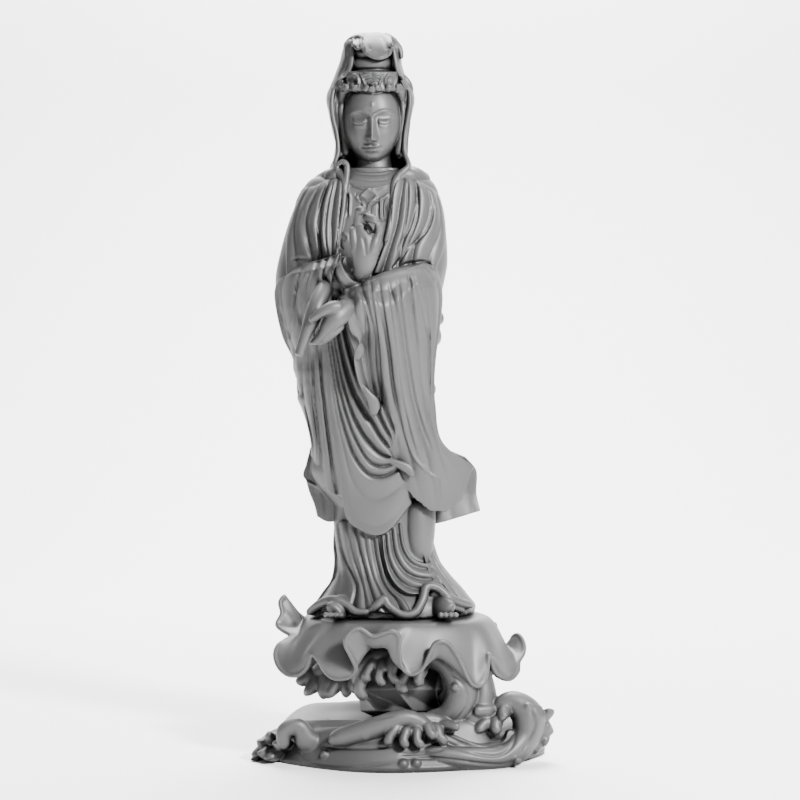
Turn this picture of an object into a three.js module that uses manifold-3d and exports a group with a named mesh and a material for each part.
// Guanyin standing on a curled lotus leaf over breaking waves: a carved figure, and the plinth it stands on.
// Millimetres, +Z up, the front faces -Y, and the origin is the middle of the plinth's underside.
import * as THREE from "three";
import Module from "manifold-3d";
import { mergeVertices } from "three/addons/utils/BufferGeometryUtils.js";

const wasm = await Module();
wasm.setup();

// Driving sizes, in millimetres
const FIGURE_HEIGHT = 483; // from the hem's underside to the top of the hood
const SEAT_HEIGHT = 116.4; // from the floor to the flat of the leaf that the figure stands on
const PLINTH_WIDTH = 247.9; // across the widest wave crests
const PLINTH_DEPTH = 178.2; // from the front of the slab to the back
const SEAT_GAP = 0.3; // clearance between the hem and the leaf
const TOLERANCE = 0.75; // how far a facet may lie from the carving when needless corners are dropped

// The carving is drawn in shares of the figure's height, as a viewer at the height of its hips sees it from
// the front.
const DRAWN_FIGURE = 581; // shares from hem to hood
const DRAWN_SEAT = 140; // shares from floor to seat
const DRAWN_WIDTH = 298.2;
const DRAWN_DEPTH = 214.3;
const EYE_DISTANCE = 1900;
const EYE_HEIGHT = 352; // above the floor
const EYE_LINE = EYE_HEIGHT / (1 - DRAWN_DEPTH / 2 / EYE_DISTANCE); // above the slab's front edge, as seen
const DRAWN_MIDDLE = { x: 3.04, y: -2.82 }; // the plinth's middle in the drawing

// The finish
const CAST_GREY = 0x8b8b8b;
const CAST_ROUGHNESS = 0.5;

// A place in the drawing (right, away from the viewer, up) as real shares above the floor.
const seen = ([x, y, z]) => {
  const nearer = 1 + y / EYE_DISTANCE;
  return [x * nearer - DRAWN_MIDDLE.x, y - DRAWN_MIDDLE.y, EYE_HEIGHT + (z - EYE_LINE) * nearer];
};
const figureShare = FIGURE_HEIGHT / DRAWN_FIGURE;
const onFigure = (place) => {
  const [x, y, z] = seen(place);
  return [x * figureShare, y * figureShare, SEAT_HEIGHT + SEAT_GAP + (z - DRAWN_SEAT) * figureShare];
};
const scaledPlinth = ([x, y, z]) => [
  (x * PLINTH_WIDTH) / DRAWN_WIDTH,
  (y * PLINTH_DEPTH) / DRAWN_DEPTH,
  (z * SEAT_HEIGHT) / DRAWN_SEAT,
];
const onPlinth = (place) => scaledPlinth(seen(place));

// Small mathematics
const TURN = 2 * Math.PI;
const clamp = (v, low, high) => Math.min(high, Math.max(low, v));
const ease = (low, high, v) => {
  const t = clamp((v - low) / (high - low), 0, 1);
  return t * t * (3 - 2 * t);
};
const mix = (a, b, t) => a + (b - a) * t;
const mixPoints = (a, b, t) => a.map((v, i) => mix(v, b[i], t));
const signedPower = (v, p) => Math.sign(v) * Math.abs(v) ** p;
const bump = (distance, width) => Math.exp(-((distance / width) ** 2));

// A smooth curve through rows of [place, value, value...], with the places rising.
function through(rows) {
  const slope = rows.map((row, i) => {
    const before = rows[Math.max(0, i - 1)];
    const after = rows[Math.min(rows.length - 1, i + 1)];
    return row.map((_, k) => (after[k] - before[k]) / (after[0] - before[0]));
  });
  return (place) => {
    const p = clamp(place, rows[0][0], rows[rows.length - 1][0]);
    let i = 0;
    while (i < rows.length - 2 && p > rows[i + 1][0]) i++;
    const span = rows[i + 1][0] - rows[i][0];
    const t = (p - rows[i][0]) / span;
    const [start, end] = [2 * t ** 3 - 3 * t * t + 1, 3 * t * t - 2 * t ** 3];
    const [leave, arrive] = [span * (t ** 3 - 2 * t * t + t), span * (t ** 3 - t * t)];
    return rows[i].slice(1).map((v, n) => {
      const k = n + 1;
      return start * v + end * rows[i + 1][k] + leave * slope[i][k] + arrive * slope[i + 1][k];
    });
  };
}

// The same through points of any size, run from 0 to 1.
const alongPoints = (points) => through(points.map((point, i) => [i / (points.length - 1), ...point]));

// A closed body through rings of points, each with the same count, capped at both ends by fans.
function lofted(rings, place) {
  const count = rings[0].length;
  const middles = [rings[0], rings[rings.length - 1]].map((ring) =>
    ring[0].map((_, k) => ring.reduce((sum, point) => sum + point[k], 0) / count),
  );
  const points = [...rings.flat(), ...middles].map(place);
  const triangles = [];
  for (let j = 0; j < rings.length - 1; j++)
    for (let i = 0; i < count; i++) {
      const [a, b] = [j * count + i, j * count + ((i + 1) % count)];
      triangles.push([a, b, a + count], [b, b + count, a + count]);
    }
  const last = (rings.length - 1) * count;
  const hub = rings.length * count;
  for (let i = 0; i < count; i++) {
    const next = (i + 1) % count;
    triangles.push([hub, next, i], [hub + 1, last + i, last + next]);
  }
  return solidFrom(points, triangles);
}

// A closed body from indexed triangles, turned to face out if need be.
function solidFrom(points, triangles) {
  let geometry = new THREE.BufferGeometry();
  geometry.setAttribute("position", new THREE.Float32BufferAttribute(points.flat(), 3));
  geometry.setIndex(triangles.flat());
  geometry = mergeVertices(geometry, 1e-3);
  const corners = new Uint32Array(geometry.index.array);
  const spots = geometry.attributes.position.array;
  const mesh = () => new wasm.Mesh({ numProp: 3, vertProperties: spots, triVerts: corners });
  const build = () => new wasm.Manifold(mesh());
  const made = build();
  if (made.volume() > 0) return made;
  for (let i = 0; i < corners.length; i += 3) [corners[i], corners[i + 1]] = [corners[i + 1], corners[i]];
  return build();
}

// Evenly stepped values from 0 to 1, and angles round a body with its own counts in front and behind.
const steps = (count) => Array.from({ length: count + 1 }, (_, i) => i / count);
const anglesRound = (front, back) => [
  ...steps(front).map((t) => Math.PI * t),
  ...steps(back).slice(1, -1).map((t) => Math.PI * (1 + t)),
];

// A rounded rod along stations [x, y, z, half width, half depth]. Its width lies in the drawing's plane.
const END_SHARE = 0.1;
function rod(stations, place, { sides = 6, rows = 5, ends = 0.16 } = {}) {
  const path = alongPoints(stations.map((s) => [...s, ...(s.length < 5 ? [s[3]] : [])]));
  const places = [0, ...steps(rows - 2).map((t) => mix(ends, 1 - ends, t)), 1];
  const rings = places.map((t) => {
    const [x, y, z, wide, deep] = path(t);
    const [before, after] = [path(Math.max(0, t - 0.01)), path(Math.min(1, t + 0.01))];
    const heading = new THREE.Vector3(...after).sub(new THREE.Vector3(...before)).normalize();
    const upright = Math.abs(heading.y) > 0.9 ? new THREE.Vector3(0, 0, 1) : new THREE.Vector3(0, 1, 0);
    const width = new THREE.Vector3().crossVectors(heading, upright).normalize();
    const depth = new THREE.Vector3().crossVectors(width, heading);
    const nearEnd = Math.min(t, 1 - t) / ends;
    const round = nearEnd < 1 ? Math.sqrt(Math.max(END_SHARE, 1 - (1 - nearEnd) ** 2)) : 1;
    return Array.from({ length: sides }, (_, i) => {
      const angle = (TURN * i) / sides;
      const [c, s] = [Math.cos(angle) * wide * round, Math.sin(angle) * deep * round];
      return [x + width.x * c + depth.x * s, y + width.y * c + depth.y * s, z + width.z * c + depth.z * s];
    });
  });
  return lofted(rings, place);
}

// A ball or egg.
function ball([x, y, z], [rx, ry, rz], place) {
  const bare = new THREE.OctahedronGeometry(1, 1).deleteAttribute("normal").deleteAttribute("uv");
  const sphere = mergeVertices(bare);
  const spots = sphere.attributes.position;
  const points = Array.from({ length: spots.count }, (_, i) =>
    place([x + rx * spots.getX(i), y + ry * spots.getY(i), z + rz * spots.getZ(i)]),
  );
  return solidFrom(points, [...sphere.index.array]);
}

// A body that stands upright: its outline [left, right, front, back] by height, with pleats down its back.
function standing(outline, heights, { square, columns, pleats = 0, pleatDepth = 0 }) {
  const angles = anglesRound(...columns);
  return heights.map((z) => {
    const [left, right, front, back] = outline(z);
    return angles.map((angle) => {
      const [c, s] = [Math.cos(angle), Math.sin(angle)];
      const pleat = s < 0 ? pleatDepth * Math.cos(pleats * angle) * ease(0, 0.3, -s) : 0;
      const deep = s > 0 ? front : back + pleat;
      const x = (left + right) / 2 + ((right - left) / 2) * signedPower(c, 2 / square);
      return [x, -deep * signedPower(s, 2 / square), z];
    });
  });
}
const frontOf = (outline, square) => (x, z) => {
  const [left, right, front] = outline(z);
  const share = clamp(Math.abs((2 * x - left - right) / (right - left)), 0, 1);
  return -front * (1 - share ** square) ** (1 / square);
};

// Cloth whose folds follow crest lines, drawn from its left edge to its right, and each from top to foot.
// A valley lies between two crests, and the far side is a smooth sheet behind the crests.
function pleated(crests, { depth, rise, valley, thick, thin = thick, rows }) {
  const curves = crests.map(alongPoints);
  const wide = 2 * crests.length - 1;
  const count = wide + crests.length;
  const ring = (t) => {
    const front = Array.from({ length: wide }, (_, i) => {
      const [x, z] = mixPoints(curves[Math.floor(i / 2)](t), curves[Math.ceil(i / 2)](t), 0.5);
      return [x, depth(x, z, t) - (i % 2 ? valley : rise) * ease(-0.1, 0.1, t), z];
    });
    const behind = mix(thick, thin, ease(0.2, 0.9, t));
    const back = front.filter((_, i) => i % 2 === 0).map(([x, y, z]) => [x, y + behind, z]);
    return [...front, ...back.reverse()];
  };
  const points = steps(rows).flatMap(ring).map(onFigure);
  const triangles = [];
  for (let j = 0; j < rows; j++)
    for (let i = 0; i < count; i++) {
      const [a, b] = [j * count + i, j * count + ((i + 1) % count)];
      triangles.push([a, b, a + count], [b, b + count, a + count]);
    }
  for (const start of [0, rows * count])
    for (let i = 0; i < crests.length - 1; i++) {
      const [left, valleyPoint, right] = [start + 2 * i, start + 2 * i + 1, start + 2 * i + 2];
      const [behindLeft, behindRight] = [start + count - 1 - i, start + count - 2 - i];
      const cap = [
        [left, behindLeft, valleyPoint],
        [valleyPoint, behindRight, right],
        [valleyPoint, behindLeft, behindRight],
      ];
      triangles.push(...(start ? cap.map(([p, q, r]) => [p, r, q]) : cap));
    }
  return solidFrom(points, triangles);
}

// The robe's body, from the front panel's hem to the shoulders: rows of [height, left, right, front, back]
const robeOutline = through([
  [270, -70, 24, 38, 44],
  [298, -90, 34, 44, 49],
  [323, -89, 38, 46, 50],
  [343, -92, 36, 47, 50],
  [363, -98, 34, 48, 50],
  [375, -103, 33, 48, 50],
  [385, -101, 36, 49, 51],
  [393, -102, 33, 49, 51],
  [403, -107, 31, 50, 51],
  [423, -108, 33, 51, 52],
  [433, -115, 40, 52, 53],
  [443, -114, 38, 52, 53],
  [455, -117, 36, 53, 54],
  [473, -123, 40, 53, 55],
  [493, -125, 45, 53, 55],
  [513, -122, 48, 51, 54],
  [553, -111, 45, 44, 50],
  [583, -98, 38, 38, 44],
  [593, -91, 32, 34, 40],
  [598, -82, 23, 30, 36],
  [604, -66, 6, 25, 31],
]);

const ROBE_SQUARE = 2.3;
const onRobe = frontOf(robeOutline, ROBE_SQUARE);
const robeHeights = [270, 298, 323, 343, 363, 385, 403, 428, 455, 493, 523, 553, 578, 590, 598, 604];
const robe = lofted(
  standing(robeOutline, robeHeights, { square: ROBE_SQUARE, columns: [6, 12], pleats: 12, pleatDepth: 3 }),
  onFigure,
);

// The skirt below it, down to the hem on the leaf.
const SKIRT_SQUARE = 2.2;
const skirtOutline = through([
  [120, -92, 74, 56, 80],
  [150, -92, 74, 56, 76],
  [160, -90, 75, 56, 72],
  [168, -84, 76, 54, 68],
  [176, -77, 70, 50, 62],
  [186, -70, 62, 45, 56],
  [198, -64, 51, 40, 50],
  [213, -63, 40, 36, 45],
  [243, -66, 32, 34, 42],
  [290, -68, 30, 34, 42],
]);
const onSkirt = frontOf(skirtOutline, SKIRT_SQUARE);
const skirtHeights = [120, 150, 162, 174, 186, 200, 220, 250, 290];
const skirt = lofted(
  standing(skirtOutline, skirtHeights, { square: SKIRT_SQUARE, columns: [6, 12], pleats: 12, pleatDepth: 4 }),
  onFigure,
);

// Crest lines of the folds, in shares right of the axis and up.
const skirtFolds = [
  [[-66, 248], [-66, 228], [-64, 211], [-68, 193], [-78, 177], [-92, 157]],
  [[-58, 250], [-57, 228], [-52, 211], [-48, 195], [-50, 181], [-62, 165]],
  [[-50, 249], [-50, 228], [-46, 208], [-42, 188], [-38, 171], [-34, 157]],
  [[-40, 243], [-37, 223], [-33, 203], [-30, 188], [-26, 173], [-21, 161]],
  [[-31, 238], [-27, 213], [-22, 195], [-16, 183], [-11, 171], [-8, 157]],
  [[-21, 236], [-16, 215], [-10, 197], [-2, 183], [5, 170], [7, 154]],
  [[-12, 240], [-7, 223], [0, 206], [10, 193], [18, 181], [20, 163]],
  [[-2, 246], [3, 230], [10, 215], [20, 203], [27, 193], [30, 181]],
  [[25, 253], [28, 238], [30, 223], [34, 208], [40, 193], [48, 175]],
  [[31, 248], [33, 228], [39, 213], [47, 200], [58, 186], [74, 168]],
];
const skirtFront = pleated(skirtFolds, { depth: onSkirt, rise: 6, valley: 1, thick: 12, rows: 7 });

const leftFolds = [
  [[-100, 428], [-104, 398], [-102, 375], [-93, 348], [-89, 323], [-96, 299], [-91, 283], [-83, 263],
    [-80, 252]],
  [[-88, 428], [-90, 398], [-89, 373], [-86, 343], [-83, 318], [-84, 295], [-80, 278], [-76, 263],
    [-74, 251]],
  [[-80, 428], [-78, 398], [-75, 373], [-70, 343], [-66, 318], [-61, 295], [-57, 281], [-55, 268],
    [-62, 253]],
];
const leftPanel = pleated(leftFolds, { depth: onRobe, rise: 5, valley: 1, thick: 14, rows: 8 });

const panelFolds = [
  [[-78, 428], [-70, 353], [-62, 303], [-56, 271], [-47, 251], [-35, 241], [-20, 237], [-4, 247], [12, 270]],
  [[-74, 428], [-66, 363], [-56, 318], [-48, 278], [-38, 261], [-22, 257], [-7, 265], [9, 281]],
  [[-71, 423], [-62, 363], [-50, 317], [-38, 299], [-26, 292], [-13, 293], [0, 300]],
  [[-68, 423], [-60, 373], [-50, 336], [-40, 318], [-28, 307], [-18, 306], [-5, 310]],
  [[-63, 428], [-57, 398], [-49, 373], [-40, 355], [-30, 343], [-20, 328], [-9, 317]],
  [[-57, 433], [-51, 411], [-43, 388], [-34, 373], [-26, 358], [-18, 343], [-11, 332]],
];
const frontPanel = pleated(panelFolds, { depth: onRobe, rise: 7, valley: 1, thick: 14, rows: 10 });

const chestFolds = [
  [
    [[-57, 605], [-58, 588], [-59, 573], [-61, 555], [-62, 536], [-66, 500]],
    [[-64, 600], [-71, 581], [-75, 567], [-77, 550], [-75, 533], [-72, 500]],
    [[-73, 594], [-81, 579], [-86, 566], [-89, 551], [-86, 533], [-80, 500]],
    [[-85, 587], [-92, 575], [-97, 566], [-100, 551], [-98, 533], [-90, 500]],
    [[-98, 585], [-104, 573], [-107, 561], [-111, 548], [-114, 533], [-114, 500]],
  ],
  [
    [[1, 605], [-5, 588], [-8, 573], [-10, 551], [-14, 533], [-26, 500]],
    [[9, 600], [10, 583], [8, 567], [4, 548], [-2, 531], [-10, 500]],
    [[20, 592], [24, 577], [22, 561], [16, 545], [8, 530], [4, 500]],
    [[32, 585], [36, 570], [36, 556], [31, 542], [22, 526], [16, 500]],
    [[40, 578], [44, 563], [46, 548], [46, 533], [42, 519], [34, 500]],
  ],
];
const lapels = chestFolds.map((crests) =>
  pleated(crests, { depth: onRobe, rise: 6, valley: 1.5, thick: 14, rows: 5 }),
);

// The long sleeve on the right falls from the forearm, in two steps at its near edge, and flares out.
const sleeveFolds = [
  [[-57, 485], [-54, 461], [-50, 443], [-41, 432], [-46, 415], [-42, 393], [-34, 375], [-24, 367],
    [-30, 349], [-28, 333], [-19, 318], [-7, 303]],
  [[-46, 490], [-38, 468], [-32, 448], [-33, 428], [-29, 393], [-22, 363], [-14, 333], [-3, 296]],
  [[-34, 493], [-25, 460], [-18, 423], [-14, 383], [-6, 348], [3, 316], [14, 274]],
  [[-20, 496], [-10, 453], [-3, 413], [3, 373], [11, 343], [19, 311], [30, 261]],
  [[-5, 500], [5, 463], [11, 423], [17, 383], [25, 353], [36, 318], [47, 260]],
  [[12, 506], [19, 480], [24, 450], [27, 410], [30, 375], [40, 325], [63, 273]],
  [[30, 511], [38, 483], [38, 453], [34, 423], [33, 393], [33, 368], [40, 331], [75, 307]],
];
// A sleeve is drawn over the forearm at its top, and falls back to the robe's front at its foot.
const OVER_ARM = { wrap: 16, until: 0.12 };
const sleeveDepth = (armFront, hangs) => (x, z, t) => {
  const wrap = OVER_ARM.wrap * (1 - ease(0, OVER_ARM.until, t));
  return mix(armFront(x)[0], hangs(x, z), ease(0.1, 0.85, t)) + wrap;
};
const nearArmFront = through([
  [-60, -97],
  [-36, -97],
  [-12, -92],
  [14, -76],
  [30, -56],
  [42, -34],
]);
const SLEEVE_FOOT = { middle: -8, reach: 52, half: 96, from: 14 };
const flared = (x) => {
  const across = (x - SLEEVE_FOOT.middle) / SLEEVE_FOOT.half;
  return SLEEVE_FOOT.from - SLEEVE_FOOT.reach * Math.sqrt(Math.max(0, 1 - across ** 2));
};
const longSleeve = pleated(sleeveFolds, {
  depth: sleeveDepth(nearArmFront, flared),
  rise: 5,
  valley: 0.5,
  thick: 40,
  thin: 13,
  rows: 12,
});

// The sleeve on the viewer's left hangs behind the vase.
const farSleeveFolds = [
  [[-118, 500], [-126, 480], [-119, 440], [-108, 405], [-103, 388], [-102, 368]],
  [[-106, 508], [-112, 480], [-103, 430], [-96, 395], [-92, 366]],
  [[-91, 511], [-98, 480], [-90, 430], [-84, 395], [-80, 370]],
  [[-76, 515], [-83, 485], [-78, 435], [-73, 400], [-68, 376]],
  [[-60, 520], [-68, 495], [-68, 465], [-66, 430], [-58, 392]],
];
const farArmFront = through([
  [-126, -8],
  [-118, -26],
  [-106, -46],
  [-86, -74],
  [-64, -88],
  [-50, -95],
]);
const farSleeve = pleated(farSleeveFolds, {
  depth: sleeveDepth(farArmFront, onRobe),
  rise: 4,
  valley: 0.5,
  thick: 44,
  thin: 16,
  rows: 9,
});

// Wind-blown ends of the robe behind the hem, right and left.
const windFolds = [
  [
    [[30, 330], [24, 300], [22, 270], [24, 246]],
    [[44, 326], [42, 300], [40, 272], [42, 250]],
    [[56, 320], [58, 300], [58, 276], [62, 256]],
    [[68, 314], [75, 300], [77, 275], [80, 260]],
  ],
  [
    [[-92, 325], [-98, 301], [-94, 284], [-86, 268], [-82, 251]],
    [[-80, 320], [-82, 300], [-80, 280], [-76, 265], [-73, 251]],
    [[-60, 318], [-62, 300], [-62, 280], [-62, 265], [-62, 252]],
  ],
];
const windEnds = windFolds.map((crests, side) =>
  pleated(crests, { depth: (x) => (side ? -6 : 8 + 0.1 * x), rise: 2.5, valley: -1.5, thick: 9, rows: 5 }),
);

// Arms, hands and the vase
const forearms = [
  rod([[-106, -20, 486, 27], [-86, -50, 486, 24], [-64, -68, 494, 20], [-47, -79, 503, 17]], onFigure, {
    sides: 10,
    rows: 5,
    ends: 0.1,
  }),
  rod([[34, -18, 490, 26], [14, -52, 486, 24], [-12, -70, 481, 22], [-36, -79, 476, 17],
    [-52, -84, 468, 12]], onFigure, {
    sides: 10,
    rows: 6,
    ends: 0.1,
  }),
];
const cuffs = [
  rod([[-53, -78, 500, 15.5], [-49, -81, 502, 18.5], [-46, -83, 503, 17.5], [-43, -84, 505, 15]], onFigure, {
    sides: 12,
    rows: 4,
    ends: 0.12,
  }),
  rod([[-50, -84, 468, 12], [-54, -86, 466, 13], [-57, -87, 464, 12]], onFigure, { sides: 10, rows: 3 }),
];
const raisedHand = [
  rod(
    [
      [-38, -83, 498, 7, 7],
      [-37, -86, 510, 9.5, 7.5],
      [-35, -89, 524, 13, 8],
      [-35, -90, 537, 14, 7.5],
      [-39, -90, 548, 11, 6],
    ],
    onFigure,
    { sides: 8, rows: 7 },
  ),
  rod([[-46, -89, 542, 3.6], [-49, -91, 552, 3.3], [-47, -95, 560, 2.8]], onFigure),
  rod([[-43, -90, 544, 4], [-45, -94, 556, 3.6], [-42, -99, 564, 3]], onFigure),
  rod([[-38, -91, 546, 4], [-41, -96, 560, 3.6], [-37, -103, 566, 3]], onFigure),
  rod([[-33, -92, 546, 4], [-33, -100, 557, 3.6], [-24, -106, 553, 3]], onFigure),
  rod([[-24, -92, 532, 4.6], [-20, -99, 543, 4], [-23, -106, 550, 3.2]], onFigure),
];
const loweredHand = [
  rod(
    [
      [-50, -85, 467, 8, 8],
      [-58, -90, 464, 11, 8],
      [-67, -94, 460, 12, 8],
      [-74, -95, 455, 9, 6.5],
    ],
    onFigure,
    { sides: 8, rows: 5 },
  ),
  rod([[-67, -96, 468, 4.6], [-78, -101, 462, 4.2], [-92, -103, 453, 3.4]], onFigure),
  rod([[-68, -94, 456, 4.8], [-78, -97, 443, 4.4], [-88, -97, 434, 3.6]], onFigure),
  rod([[-64, -91, 452, 5], [-74, -92, 438, 4.6], [-90, -90, 431, 3.6]], onFigure),
];
const vase = rod(
  [
    [-75, -92, 484, 7.5],
    [-77, -93, 480, 8],
    [-81, -95, 471, 11.5],
    [-86, -97, 459, 11],
    [-91, -98, 447, 7.5],
    [-96, -99, 435, 4.8],
    [-103, -100, 418, 4.4],
  ],
  onFigure,
  { sides: 8, rows: 9, ends: 0.03 },
);

// Head, hair, hood and crown. The face is drawn by the common canon: eyes half way up, the nose half way on.
const FACE = { x: -28, z: 652, wide: 29.5, tall: 42, front: 34, back: 26 };
const faceRelief = (x, z) => {
  const across = Math.abs(x - FACE.x) / FACE.wide;
  const up = (z - FACE.z) / FACE.tall;
  const nose = 7 * bump(across, 0.14 - 0.06 * up) * ease(0.12, -0.42, up) * ease(-0.56, -0.44, up);
  const bridge = 2.2 * bump(across, 0.1) * bump(up - 0.1, 0.2);
  const arch = 0.24 - 0.5 * (across - 0.4) ** 2;
  const brow = 1.6 * bump(up - arch, 0.07) * ease(0.1, 0.3, across) * ease(0.8, 0.6, across);
  const lid = 2 * bump(across - 0.42, 0.22) * bump(up - 0.1, 0.09);
  const slit = -1.4 * bump(across - 0.42, 0.24) * bump(up, 0.035);
  const lips = 2.4 * bump(across, 0.24) * (bump(up + 0.63, 0.045) + bump(up + 0.72, 0.05));
  const chin = 2 * bump(across, 0.3) * bump(up + 0.92, 0.1);
  return nose + bridge + brow + lid + slit + lips + chin;
};
const faceRows = [
  -0.97, -0.88, -0.78, -0.72, -0.675, -0.63, -0.56, -0.45, -0.2, 0, 0.1, 0.24, 0.4, 0.75, 0.96,
];
const faceSides = [1, 0.9, 0.7, 0.42, 0.2, 0.12, 0];
const headAngles = [
  ...faceSides.map((c) => Math.acos(c)),
  ...faceSides.slice(0, -1).reverse().map((c) => Math.PI - Math.acos(c)),
  ...steps(4).slice(1, -1).map((t) => Math.PI * (1 + t)),
];
const head = lofted(
  faceRows.map((lift) => {
    const girth = Math.sqrt(1 - lift * lift);
    const jaw = 1 - 0.2 * ease(-0.1, -1, lift);
    const z = FACE.z + FACE.tall * lift;
    return headAngles.map((angle) => {
      const [c, s] = [Math.cos(angle), Math.sin(angle)];
      const x = FACE.x + FACE.wide * jaw * signedPower(girth * c, 0.92);
      const y = -6 - (s > 0 ? FACE.front : FACE.back) * signedPower(girth * s, 0.85);
      return [x, y - (s > 0 ? faceRelief(x, z) * ease(0.1, 0.5, s * girth) : 0), z];
    });
  }),
  onFigure,
);
const hoodOutline = through([
  [590, -66, 10, 28, 36],
  [600, -70, 12, 28, 36],
  [606, -70, 11, 27, 38],
  [614, -66, 8, 25, 42],
  [624, -64, 7, 22, 44],
  [640, -67, 8, 19, 46],
  [660, -72, 12, 16, 48],
  [675, -74, 15, 14, 48],
  [683, -73, 13, 13, 46],
  [693, -69, 9, 13, 43],
  [703, -64, 4, 15, 40],
  [715, -60, 2, 18, 36],
  [725, -57, 2, 22, 32],
  [731, -55, -3, 22, 29],
  [736, -50, -8, 19, 24],
  [740, -42, -15, 12, 15],
]);
const hoodHeights = [590, 600, 608, 624, 642, 660, 677, 690, 703, 718, 731, 740];
const hood = lofted(
  standing(hoodOutline, hoodHeights, { square: 3.2, columns: [4, 10], pleats: 10, pleatDepth: 2 }),
  onFigure,
);
const neck = rod([[-27, -12, 590, 23, 26], [-27, -12, 603, 19, 18], [-27, -11, 622, 20, 18]], onFigure, {
  sides: 10,
  rows: 3,
  ends: 0.02,
});
const hoodEdges = [
  [[-48, -20, 728, 3], [-49, -19, 712, 3], [-54, -17, 701, 3], [-62, -16, 692, 3], [-67, -16, 676, 3.4],
    [-67, -16, 662, 3.4],
    [-63, -18, 640, 3], [-61, -20, 622, 3], [-64, -24, 611, 4], [-57, -28, 600, 4]],
  [[-7, -20, 727, 3], [-4, -19, 712, 3], [-1, -17, 700, 3], [5, -16, 690, 3], [9, -16, 676, 3.4],
    [8, -16, 660, 3.4],
    [5, -18, 640, 3], [4, -20, 622, 3], [8, -24, 611, 4], [-3, -28, 602, 4]],
].map((path) => rod(path, onFigure, { sides: 5, rows: 11, ends: 0.05 }));
const topknot = [
  rod([[-28, -6, 684, 27, 26], [-28, -6, 697, 23, 23], [-28, -6, 704, 20, 21]], onFigure, {
    sides: 10,
    rows: 3,
    ends: 0.1,
  }),
  rod([[-28, -6, 702, 19, 20], [-28, -7, 710, 21, 23], [-28, -6, 718, 19, 20],
    [-28, -6, 734, 15, 16]], onFigure, {
    sides: 10,
    rows: 5,
    ends: 0.06,
  }),
];
const hoodFlap = [
  rod([[-20, -18, 737, 9, 5], [-19, -27, 730, 13, 5], [-18, -32, 721, 12, 3.6],
    [-17, -33, 717, 8, 2.4]], onFigure, {
    sides: 8,
    rows: 4,
  }),
  rod([[-36, -16, 736, 6, 4], [-37, -25, 731, 7, 4], [-37, -29, 727, 5, 3]], onFigure, { sides: 6, rows: 3 }),
  rod([[-46, -12, 734, 6, 5], [-48, -20, 728, 6, 4], [-49, -21, 724, 4, 3]], onFigure, { sides: 6, rows: 3 }),
  rod([[-10, -12, 738, 5, 4], [-6, -20, 731, 5, 4], [-2, -20, 724, 4, 3]], onFigure, { sides: 6, rows: 3 }),
];
const CROWN = { x: -28, y: -6, z: 691, wide: 32, deep: 30, leaves: 7, spread: 1.2 };
const crown = [
  rod(
    [
      [CROWN.x, CROWN.y, CROWN.z - 10, CROWN.wide - 2, CROWN.deep - 1],
      [CROWN.x, CROWN.y, CROWN.z, CROWN.wide, CROWN.deep],
      [CROWN.x, CROWN.y, CROWN.z + 9, CROWN.wide - 4, CROWN.deep - 3],
    ],
    onFigure,
    { sides: 14, rows: 3, ends: 0.1 },
  ),
  ...steps(CROWN.leaves - 1).map((t) => {
    const turn = mix(-CROWN.spread, CROWN.spread, t);
    const [x, y] = [CROWN.x + CROWN.wide * Math.sin(turn), CROWN.y - CROWN.deep * Math.cos(turn)];
    const tall = t === 0.5 ? 10 : 7;
    return ball([x, y, CROWN.z], [4.6, 4, tall], onFigure);
  }),
];
const ears = [-1, 1].map((side) =>
  rod(
    [[FACE.x + 31 * side, -10, 668, 3, 5], [FACE.x + 31.5 * side, -12, 650, 3, 5],
      [FACE.x + 29 * side, -14, 630, 3.2, 4]],
    onFigure,
    { sides: 5, rows: 4 },
  ),
);

// The hem's rolled edge, which waves over the feet.
const hemRolls = [
  [[-92, -30, 158, 4], [-80, -46, 168, 4], [-66, -58, 171, 4], [-54, -62, 166, 4], [-44, -64, 160, 4],
    [-30, -65, 160, 3]],
  [[-32, -66, 160, 3], [-24, -67, 166, 3.6], [-16, -66, 173, 3.6], [-11, -67, 166, 3.6], [2, -68, 157, 3.6],
    [15, -66, 159, 3.6],
    [23, -62, 172, 3.6], [27, -58, 185, 3.6], [38, -56, 184, 3.6], [50, -54, 173, 3.6], [62, -42, 169, 3.6],
      [72, -28, 167, 3]],
].map((path) => rod(path, onFigure, { sides: 6, rows: 2 * path.length - 2, ends: 0.06 }));

// Feet that show under the hem, each with its toes.
const feet = [[-62, 163, -8], [44, 163, 10]].flatMap(([x, z, lean]) => [
  rod([[x - lean, -36, z + 6, 9, 7], [x, -56, z, 9, 6], [x + lean / 2, -66, z - 3, 8, 4]], onFigure),
  ...[0, 1, 2].map((i) => ball([x + lean / 2 - 5 + 5 * i, -70 + i, z - 5], [2.8, 4, 2.6], onFigure)),
]);

// Joins parts, and keeps the outer skin alone, so that pockets left between them inside are filled.
function union(parts) {
  let whole = parts.flat().reduce((sum, part) => sum.add(part));
  for (let skins = skinsOf(whole); skins.length > 1; skins = skinsOf(whole))
    whole = solidFrom(spotsOf(whole), skins.sort((a, b) => b.length - a.length)[0]);
  return whole;
}
const inThrees = (values) =>
  Array.from({ length: values.length / 3 }, (_, i) => [...values.slice(3 * i, 3 * i + 3)]);
const spotsOf = (solid) => {
  const { vertProperties } = solid.getMesh();
  return inThrees(vertProperties);
};
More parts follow.
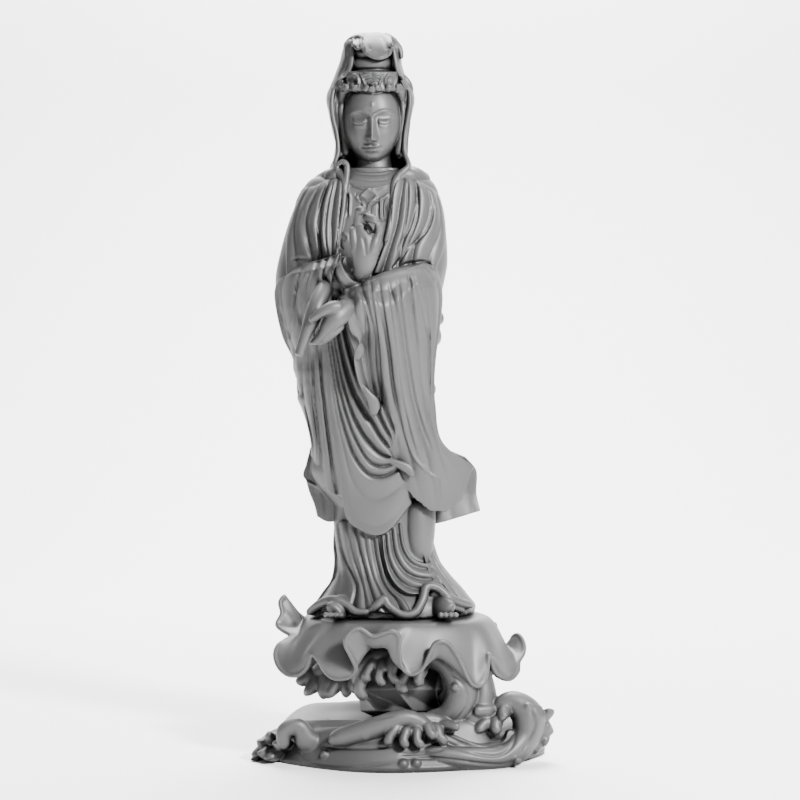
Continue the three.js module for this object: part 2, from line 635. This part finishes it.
// The triangles of each skin that is closed on its own.
function skinsOf(solid) {
  const { vertProperties, triVerts } = solid.getMesh();
  const owner = Array.from({ length: vertProperties.length / 3 }, (_, i) => i);
  const find = (n) => {
    while (owner[n] !== n) n = owner[n] = owner[owner[n]];
    return n;
  };
  const triangles = inThrees(triVerts);
  triangles.forEach(([a, b, c]) => {
    owner[find(a)] = find(b);
    owner[find(b)] = find(c);
  });
  const skins = new Map();
  triangles.forEach((triangle) => {
    const skin = find(triangle[0]);
    if (!skins.has(skin)) skins.set(skin, []);
    skins.get(skin).push(triangle);
  });
  return [...skins.values()];
}
// Moves a corner onto its neighbour, and so drops two faces, wherever the faces that move with it hardly turn
// and stay within the tolerance of the carving, less what earlier moves there have used up of it. Corners on
// the floor stay on it.
const LEAST_AGREEMENT = 0.9; // the cosine between a face's old direction and its new one
function thinned(solid, floor, tolerance) {
  const points = spotsOf(solid).map((spot) => new THREE.Vector3(...spot));
  const [faces] = skinsOf(solid);
  const facesOf = points.map(() => new Set());
  const drift = points.map(() => 0);
  faces.forEach((face, n) => face.forEach((corner) => facesOf[corner].add(n)));
  const planeOf = ([a, b, c]) => {
    const normal = points[b].clone().sub(points[a]).cross(points[c].clone().sub(points[a])).normalize();
    return new THREE.Plane(normal, -normal.dot(points[a]));
  };
  const around = (corner) => new Set([...facesOf[corner]].flatMap((n) => faces[n]));
  const onFloor = (corner) => points[corner].z < floor + 0.01;
  // How far the carving would have moved in all, or infinity where the move can't be made.
  const driftOf = (from, to) => {
    if (onFloor(from) && !onFloor(to)) return Infinity;
    const near = around(to);
    const shared = [...around(from)].filter((corner) => corner !== from && corner !== to && near.has(corner));
    if (shared.length !== 2) return Infinity;
    const moves = [...facesOf[from]].map((n) => {
      if (faces[n].includes(to)) return 0;
      const before = planeOf(faces[n]);
      const after = planeOf(faces[n].map((corner) => (corner === from ? to : corner)));
      const turned = before.normal.dot(after.normal) < LEAST_AGREEMENT;
      return turned ? Infinity : Math.abs(before.distanceToPoint(points[to]));
    });
    return drift[from] + Math.max(...moves);
  };
  const move = (from, to, moved) => {
    drift[to] = Math.max(drift[to], moved);
    for (const n of facesOf[from]) {
      if (faces[n].includes(to)) faces[n].forEach((corner) => corner !== from && facesOf[corner].delete(n));
      if (faces[n].includes(to)) faces[n] = null;
      else {
        faces[n] = faces[n].map((corner) => (corner === from ? to : corner));
        facesOf[to].add(n);
      }
    }
    facesOf[from].clear();
  };
  for (let some = true; some; ) {
    some = false;
    const edges = faces.flatMap((face) => (face ? face.map((corner, k) => [corner, face[(k + 1) % 3]]) : []));
    const long = new Map(edges.map((edge) => [edge, points[edge[0]].distanceTo(points[edge[1]])]));
    edges.sort((a, b) => long.get(a) - long.get(b));
    for (const [from, to] of edges) {
      if (!facesOf[from].size || !facesOf[to].size || !around(from).has(to)) continue;
      const moved = driftOf(from, to);
      if (moved > tolerance) continue;
      move(from, to, moved);
      some = true;
    }
  }
  return solidFrom(points.map((point) => point.toArray()), faces.filter((face) => face));
}
const blockAbove = (z, width) => {
  const box = new THREE.BoxGeometry(width, width, width).translate(0, 0, z + width / 2);
  const points = [...Array(box.attributes.position.count).keys()].map((i) => [
    box.attributes.position.getX(i),
    box.attributes.position.getY(i),
    box.attributes.position.getZ(i),
  ]);
  return solidFrom(points, [...box.index.array]);
};
const figureSolid = union([
  robe,
  skirt,
  skirtFront,
  leftPanel,
  frontPanel,
  lapels,
  longSleeve,
  farSleeve,
  windEnds,
  forearms,
  cuffs,
  raisedHand,
  loweredHand,
  vase,
  head,
  neck,
  hood,
  hoodEdges,
  topknot,
  hoodFlap,
  crown,
  ears,
  hemRolls,
  feet,
]).intersect(blockAbove(SEAT_HEIGHT + SEAT_GAP, 3 * FIGURE_HEIGHT));
const figureThinned = thinned(figureSolid, SEAT_HEIGHT + SEAT_GAP, TOLERANCE);

// The lotus leaf: where it hangs lowest and its rim beyond that, round from the far left through the front to
// the far right: rows of [turn, lowest x, y, z, rim x, y, z]. Lobes of even size follow behind.
const frontLobes = [
  [0, -99, 0, 150, -116, -2, 179],
  [0.014, -100, -8, 146, -121, -8, 164],
  [0.03, -100, -16, 142, -124, -15, 150],
  [0.05, -99, -26, 140, -112, -26, 137],
  [0.08, -106, -38, 134, -123, -42, 130],
  [0.11, -106, -54, 124, -124, -58, 112],
  [0.14, -98, -66, 114, -110, -72, 98],
  [0.18, -84, -76, 128, -87, -84, 119],
  [0.215, -60, -86, 110, -60, -92, 94],
  [0.23, -46, -90, 106, -46, -96, 99],
  [0.245, -38, -94, 117, -56, -106, 128],
  [0.26, -34, -94, 122, -46, -106, 145],
  [0.275, -26, -94, 122, -28, -106, 137],
  [0.295, -12, -94, 120, -8, -106, 143],
  [0.31, -5, -94, 112, -1, -99, 120],
  [0.325, 8, -93, 108, 9, -96, 100],
  [0.345, 25, -90, 112, 26, -95, 110],
  [0.365, 38, -86, 118, 39, -98, 133],
  [0.385, 54, -82, 108, 56, -92, 119],
  [0.41, 73, -74, 96, 74, -78, 87],
  [0.44, 89, -60, 120, 88, -66, 119],
  [0.47, 104, -40, 108, 106, -42, 94],
  [0.495, 110, -18, 116, 120, -20, 110],
  [0.51, 108, -4, 122, 124, -2, 128],
  [0.525, 104, 8, 126, 117, 10, 139],
  [0.545, 98, 22, 130, 104, 26, 128],
  [0.575, 90, 40, 134, 95, 46, 150],
];
const REAR = { lobes: 3.5, from: 0.61, to: 0.965, count: 15, wide: 94, deep: 88, low: 122, wave: 17 };
const hornFoot = [0.984, -96, 8, 148, -101, 8, 154];
const rearLobes = steps(REAR.count - 1).map((t) => {
  const turn = mix(REAR.from, REAR.to, t);
  const [c, s] = [-Math.cos(TURN * turn), -Math.sin(TURN * turn)];
  const lift = -Math.cos(TURN * REAR.lobes * t);
  return [
    turn,
    REAR.wide * c,
    REAR.deep * s,
    REAR.low + 4 * lift,
    (REAR.wide + 10) * c,
    (REAR.deep + 10) * s,
    REAR.low - 2 + REAR.wave * lift,
  ];
});
const hornAgain = [1, ...frontLobes[0].slice(1)];
const leafStations = [...frontLobes, ...rearLobes, hornFoot, hornAgain].map(([turn, ...places]) => [
  turn,
  ...seen(places.slice(0, 3)),
  ...seen(places.slice(3)),
]);
const leafLine = through(leafStations);
const LEAF_THICKNESS = 7;
const SEAT = { x: -10, y: 7, wide: 84, deep: 68, z: DRAWN_SEAT - LEAF_THICKNESS / 2 };
const SEAT_EDGE = 0.45; // of the way from the seat's middle to the rim
const SHOULDER = { along: 0.62, share: 0.66, droop: 0.1 };
const HANG = 0.82;
const leafMiddle = (turn, r) => {
  const angle = TURN * turn;
  const [lx, ly, lz, rx, ry, rz] = leafLine(turn);
  const pad = [SEAT.x - SEAT.wide * Math.cos(angle), SEAT.y - SEAT.deep * Math.sin(angle), SEAT.z];
  if (r < SEAT_EDGE) return mixPoints([SEAT.x, SEAT.y, SEAT.z], pad, r / SEAT_EDGE);
  const shoulder = mixPoints(pad, [lx, ly, mix(SEAT.z, lz, SHOULDER.droop)], SHOULDER.share);
  return through([
    [SEAT_EDGE, ...pad],
    [SHOULDER.along, ...shoulder],
    [HANG, lx, ly, lz],
    [1, rx, ry, rz],
  ])(r);
};
const leafSpot = (turn, r, side) => {
  const step = 0.004;
  const here = leafMiddle(turn, r);
  const [left, right] = [leafMiddle((turn + 1 - step) % 1, r), leafMiddle((turn + step) % 1, r)];
  const [inner, outer] = [leafMiddle(turn, Math.max(0, r - step)), leafMiddle(turn, Math.min(1, r + step))];
  const round = new THREE.Vector3(right[0] - left[0], right[1] - left[1], right[2] - left[2]);
  const away = new THREE.Vector3(outer[0] - inner[0], outer[1] - inner[1], outer[2] - inner[2]);
  const out = away.cross(round).normalize();
  const half = 0.5 * side * LEAF_THICKNESS * Math.sqrt(Math.max(0, 1 - r ** 8));
  if (r <= SEAT_EDGE) return [here[0], here[1], here[2] + half];
  const spot = here.map((v, k) => v + out.getComponent(k) * half);
  return r < HANG - 0.1 ? [spot[0], spot[1], Math.min(spot[2], DRAWN_SEAT)] : spot;
};
const leafRows = [
  ...[0.1, SEAT_EDGE, 0.54, 0.66, HANG, 0.92, 1].map((r) => [r, 1]),
  ...[0.86, 0.6, 0.1].map((r) => [r, -1]),
];
const LEAF_STEP = 0.014; // of a turn
const leafTurns = leafStations.slice(0, -1).flatMap(([turn], i) => {
  const gap = leafStations[i + 1][0] - turn;
  return steps(Math.ceil(gap / LEAF_STEP)).slice(0, -1).map((t) => turn + gap * t);
});
const leaf = lofted(
  leafRows.map(([r, side]) => leafTurns.map((turn) => leafSpot(turn, r, side))),
  scaledPlinth,
);

// The slab of water that everything stands on, drawn in true shares above the floor.
const slabEdge = (angle) => {
  const waver = 1 + 0.02 * Math.cos(3 * angle + 1) + 0.012 * Math.cos(7 * angle);
  return [2 + 140 * Math.cos(angle) * waver, -106 * Math.sin(angle) * waver];
};
const swell = (x, y) => {
  const front = 7 * bump(y + 84 - 0.002 * x * x, 12) + 7 * bump(y + 62 + 0.2 * x, 9);
  return front + 9 * bump(y - 34 + 0.2 * x, 24) + 5 * bump(y - 78, 9);
};
const WATER_COLUMNS = 32;
const water = lofted(
  [-0.1, 0, 0.08, 0.18, 0.3, 0.44, 0.6, 0.85].map((t) =>
    steps(WATER_COLUMNS).slice(0, -1).map((turn) => {
      const [ex, ey] = slabEdge(TURN * turn);
      if (t < 0) return [ex * 0.96, ey * 0.96, 0];
      const [x, y] = [ex * (1 - t ** 1.4), ey * (1 - t ** 1.4)];
      const bank = 5 + mix(24, 36, ease(-70, 60, y)) * ease(0, 0.34, t) + 10 * t;
      return [x, y, bank + swell(x, y) * ease(0.02, 0.25, t)];
    }),
  ),
  ([x, y, z]) => scaledPlinth([x - DRAWN_MIDDLE.x, y - DRAWN_MIDDLE.y, z]),
);

// A wave's crest is a tapering roll with fingers of foam at its end.
const crest = (path, sides = 8, rows = 8) => rod(path, onPlinth, { sides, rows, ends: 0.08 });
// A finger grows from its root, which lies in the wave behind it.
const foam = ([x, y, z], [dx, dy, dz], r, [rx, ry, rz]) =>
  rod(
    [
      [x + rx, y + ry, z + rz, r * 1.2],
      [x, y, z, r * 0.85],
      [x + dx * 0.6, y + dy * 0.6, z + dz * 0.6, r * 0.8],
      [x + dx, y + dy, z + dz, r * 1.1],
    ],
    onPlinth,
    { sides: 5, rows: 4, ends: 0.24 },
  );
const pillar = lofted(
  steps(4).map((v) =>
    steps(12).slice(0, -1).map((turn) => {
      const waist = mix(1.12, 0.86, ease(0, 0.35, v)) + 0.16 * ease(0.6, 1, v);
      const [c, s] = [Math.cos(TURN * turn), Math.sin(TURN * turn)];
      return [36 + 54 * c * waist, 8 - 56 * s * waist, mix(26, 146, v)];
    }),
  ),
  onPlinth,
);
const rock = ball([2, -22, 84], [46, 46, 32], onPlinth);
const curl = [
  crest([[20, -48, 118, 12], [44, -62, 112, 12], [60, -66, 92, 15], [60, -66, 72, 16], [46, -66, 56, 13],
    [22, -66, 52, 9]], 8, 9),
  crest([[70, -46, 116, 12], [80, -52, 90, 14], [80, -56, 66, 16], [66, -62, 46, 14]], 8, 6),
];
const underLeaf = [
  crest([[40, -20, 112, 18], [-10, -36, 112, 20], [-50, -40, 104, 17], [-88, -29, 97, 12]], 8, 6),
  crest([[16, -54, 120, 10], [-24, -66, 116, 10], [-42, -68, 104, 8], [-40, -70, 84, 6]], 6, 6),
];
const UNDER_LEAF_ROOT = [2, 14, 8];
const foamUnderLeaf = [
  [[-90, -38, 96], [-6, -2, -10], 6],
  [[-80, -40, 92], [-4, -4, -18], 6.5],
  [[-70, -46, 92], [0, -4, -18], 6],
  [[-58, -50, 92], [2, -4, -14], 5.5],
  [[-48, -56, 90], [2, -4, -12], 5],
  [[-38, -70, 96], [0, -2, -28], 6],
  [[-28, -72, 112], [0, -4, -24], 4.5],
  [[-16, -74, 112], [0, -4, -26], 4.5],
  [[-4, -74, 112], [0, -4, -28], 5],
  [[6, -72, 108], [0, -4, -32], 5],
  [[20, -66, 104], [0, -4, -18], 6],
].map((row) => foam(...row, UNDER_LEAF_ROOT));

const leftCrest = [
  crest([[-70, -60, 22, 10], [-92, -66, 32, 12], [-102, -70, 46, 9], [-116, -72, 42, 8],
    [-117, -72, 24, 6]], 8, 8),
  crest([[-60, -30, 26, 14], [-96, -34, 36, 14], [-124, -36, 32, 12], [-138, -38, 22, 9]], 8, 6),
];
const centreCrest = [
  crest([[-72, -88, 32, 9], [-30, -92, 44, 11], [6, -90, 54, 10], [30, -88, 44, 7], [44, -90, 36, 5]], 8, 8),
  crest([[10, -84, 52, 9], [34, -80, 52, 8], [56, -80, 44, 5]], 6, 5),
];
const rightCrest = [
  crest(
    [[20, -92, 22, 9], [66, -90, 14, 12], [104, -76, 16, 13], [124, -62, 34, 15], [128, -58, 56, 17],
      [112, -58, 70, 13], [92, -62, 62, 9]],
    8,
    12,
  ),
  crest([[40, -80, 34, 5], [74, -80, 24, 6], [102, -70, 28, 6], [112, -66, 44, 5]], 6, 8),
  crest([[122, -56, 60, 14], [140, -52, 48, 10], [148, -50, 36, 8]], 8, 5),
];
const backCrests = [
  crest([[-124, 4, 34, 9], [-100, 52, 46, 13], [-56, 82, 42, 13], [-10, 98, 24, 9]], 8, 7),
  crest([[0, 78, 52, 9], [54, 80, 48, 14], [102, 52, 40, 13], [130, 8, 30, 9]], 8, 7),
];
const foamOnSlab = [
  [[-134, -44, 30], [-10, -6, -2], 6.5],
  [[-126, -50, 32], [-10, -4, 2], 7],
  [[-138, -40, 22], [-8, -6, -6], 6],
  [[-130, -50, 22], [-10, -8, -8], 6],
  [[-124, -56, 22], [-6, -8, -8], 6],
  [[-141, -36, 18], [-6, -4, -6], 5.5],
  [[-4, -96, 46], [0, -8, -24], 5],
  [[4, -98, 44], [4, -8, -20], 4.5],
  [[14, -96, 44], [6, -8, -14], 4.5],
  [[24, -92, 46], [6, -8, -16], 5],
  [[34, -90, 46], [12, -8, -18], 5],
  [[50, -84, 46], [10, -6, -2], 4.5],
  [[90, -66, 62], [-12, -6, -4], 7],
  [[88, -66, 50], [-2, -8, -14], 6],
  [[96, -66, 50], [0, -8, -14], 6],
  [[104, -66, 62], [0, -8, -14], 6],
  [[144, -52, 56], [8, -4, 10], 6],
  [[148, -50, 44], [5, -4, -4], 6],
  [[148, -50, 36], [6, -4, -8], 6],
  [[142, -50, 34], [0, -4, -10], 5],
].map(([spot, reach, r]) => foam(spot, reach, r, [-reach[0], 10, 0]));
const beads = [
  [3, -104, 8, 6],
  [16, -103, 9, 5.5],
  [-72, -40, 50, 5],
  [-76, -84, 18, 4.5],
  [-36, -96, 38, 6],
  [128, -70, 66, 5],
  [117, -84, 12, 4.5],
  [55, -80, 86, 4.5],
  [64, -78, 82, 4],
].map(([x, y, z, r]) => ball([x, y, z], [r, r, r], onPlinth));

const plinthSolid = union([
  water,
  leaf,
  pillar,
  rock,
  curl,
  underLeaf,
  foamUnderLeaf,
  leftCrest,
  centreCrest,
  rightCrest,
  backCrests,
  foamOnSlab,
  beads,
]).intersect(blockAbove(0, 3 * PLINTH_WIDTH));
const plinthThinned = thinned(plinthSolid, 0, TOLERANCE);

const castResin = new THREE.MeshStandardMaterial({ color: CAST_GREY, roughness: CAST_ROUGHNESS });
function meshOf(solid, name) {
  const { vertProperties, triVerts } = solid.getMesh();
  const geometry = new THREE.BufferGeometry();
  geometry.setAttribute("position", new THREE.BufferAttribute(vertProperties, 3));
  geometry.setIndex(new THREE.BufferAttribute(triVerts, 1));
  geometry.computeVertexNormals();
  const mesh = new THREE.Mesh(geometry, castResin);
  mesh.name = name;
  return mesh;
}

const group = new THREE.Group();
group.add(meshOf(figureThinned, "guanyin_figure"), meshOf(plinthThinned, "lotus_leaf_and_wave_plinth"));
const middle = new THREE.Box3().setFromObject(group).getCenter(new THREE.Vector3());
group.position.set(-middle.x, -middle.y, 0);
export default group;
